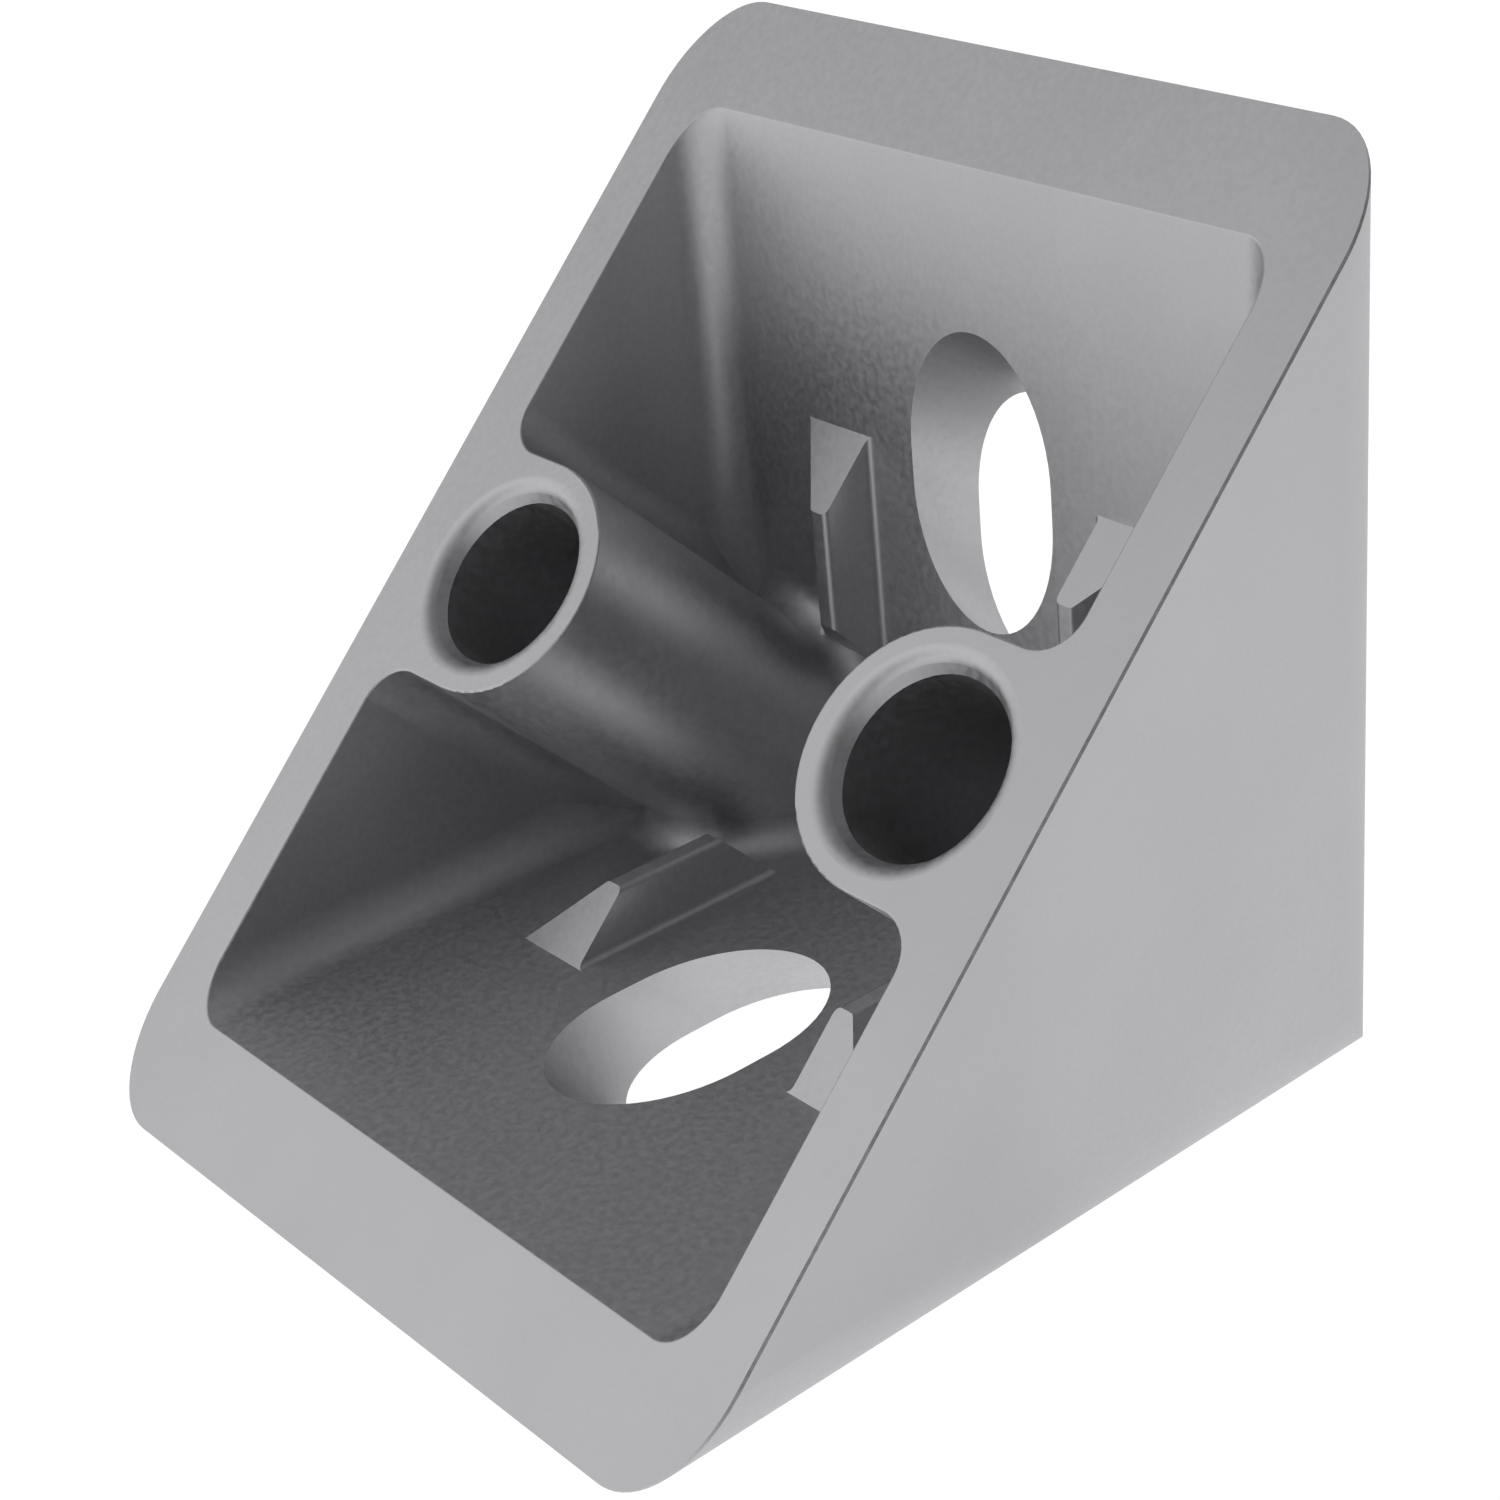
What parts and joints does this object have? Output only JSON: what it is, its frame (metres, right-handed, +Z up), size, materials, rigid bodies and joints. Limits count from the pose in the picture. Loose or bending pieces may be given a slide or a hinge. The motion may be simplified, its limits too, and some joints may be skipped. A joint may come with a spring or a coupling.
{
  "type": "t slot corner bracket",
  "caption": "Die-cast right-angle corner bracket for T-slot framing, open on its slanted face, with slotted mounting plates, solid side walls, guide ribs and bored bosses for a cover.",
  "frame": {"origin": "middle of the outside corner edge, where the base face and the back face meet", "axes": "+X along the base plate away from the corner, +Z up along the upright plate, Y across the bracket; the open face looks along +X and +Z equally"},
  "size_m": [0.0419, 0.042, 0.0419],
  "materials": {
    "cast_aluminium": "satin, fine cast grain"
  },
  "bodies": {
    "root": {"corner_bracket": "cast_aluminium"}
  },
  "joints": []
}
